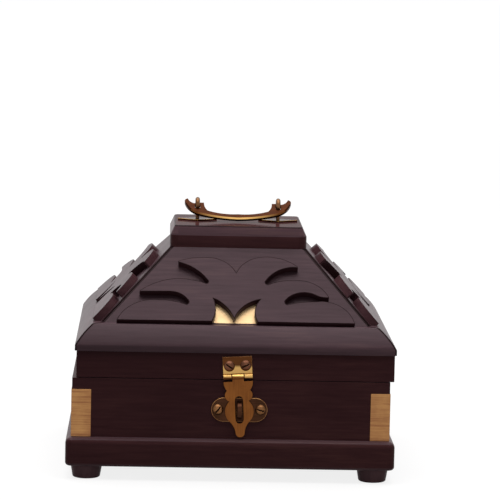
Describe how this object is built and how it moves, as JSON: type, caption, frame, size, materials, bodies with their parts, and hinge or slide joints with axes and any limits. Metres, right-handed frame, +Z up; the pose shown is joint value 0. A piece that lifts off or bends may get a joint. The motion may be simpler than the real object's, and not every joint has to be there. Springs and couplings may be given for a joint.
{
  "type": "lidded casket",
  "caption": "Low rectangular casket in dark lacquered hardwood with a hinged hipped lid, fretwork leaves over brass, a hasp and staple, corner plates, a drop handle and feet.",
  "frame": {"origin": "on the floor under the middle of the box", "axes": "+Z up, the front with the hasp faces -Y, +X to the right seen from the front"},
  "size_m": [0.158, 0.1504, 0.1296],
  "materials": {
    "lacquered_wood": "glossy lacquer",
    "foot_wood": "dark satin lacquer",
    "brass": "brushed, lightly toned",
    "antique_brass": "toned, worn bright",
    "steel": "zinc plated"
  },
  "bodies": {
    "box": {"base_board": "lacquered_wood", "foot_front_left": "foot_wood", "foot_front_right": "foot_wood", "foot_rear_left": "foot_wood", "foot_rear_right": "foot_wood", "foot_screws": "steel", "front_wall": "lacquered_wood", "rear_wall": "lacquered_wood", "left_wall": "lacquered_wood", "right_wall": "lacquered_wood", "wall_screws": "steel", "corner_plate_front_left": "brass", "corner_plate_front_right": "brass", "corner_plate_rear_left": "brass", "corner_plate_rear_right": "brass", "staple_plate": "brass", "staple": "brass", "staple_screws": "brass", "hinge_left_box_leaf": "brass", "hinge_right_box_leaf": "brass", "hinge_left_pin": "brass", "hinge_right_pin": "brass", "box_hinge_screws": "steel"},
    "lid": {"lid_front_rail": "lacquered_wood", "lid_rear_rail": "lacquered_wood", "lid_left_rail": "lacquered_wood", "lid_right_rail": "lacquered_wood", "cornice_front": "lacquered_wood", "cornice_rear": "lacquered_wood", "cornice_left": "lacquered_wood", "cornice_right": "lacquered_wood", "roof_front": "lacquered_wood", "roof_rear": "lacquered_wood", "roof_left": "lacquered_wood", "roof_right": "lacquered_wood", "leaf_overlay_front": "lacquered_wood", "leaf_overlay_rear": "lacquered_wood", "leaf_overlay_left": "lacquered_wood", "leaf_overlay_right": "lacquered_wood", "brass_inlay_front": "brass", "brass_inlay_rear": "brass", "brass_inlay_left": "brass", "brass_inlay_right": "brass", "cap_block": "lacquered_wood", "handle_plate_left": "antique_brass", "handle_plate_right": "antique_brass", "handle_eye_left": "antique_brass", "handle_eye_right": "antique_brass", "hasp_leaf": "brass", "hasp_pin": "brass", "hasp_leaf_screws": "brass", "hinge_left_lid_leaf": "brass", "hinge_right_lid_leaf": "brass", "lid_hinge_screws": "steel"},
    "hasp": {"hasp_strap": "brass"},
    "handle": {"handle_bail": "antique_brass"}
  },
  "joints": [
    {"name": "lid_open", "type": "hinge", "parent": "box", "child": "lid", "pos_m": [0, 0.06685, 0.04905], "axis": [-1, 0, 0], "range_deg": [0, 98]},
    {"name": "hasp_swing", "type": "hinge", "parent": "lid", "child": "hasp", "pos_m": [0.003, -0.07155, 0.0509], "axis": [-0.9982, 0, -0.0593], "range_deg": [0, 155]},
    {"name": "handle_swing", "type": "hinge", "parent": "lid", "child": "handle", "pos_m": [0.0031, 0, 0.1258], "axis": [-1, 0, 0], "range_deg": [0, 260]}
  ]
}
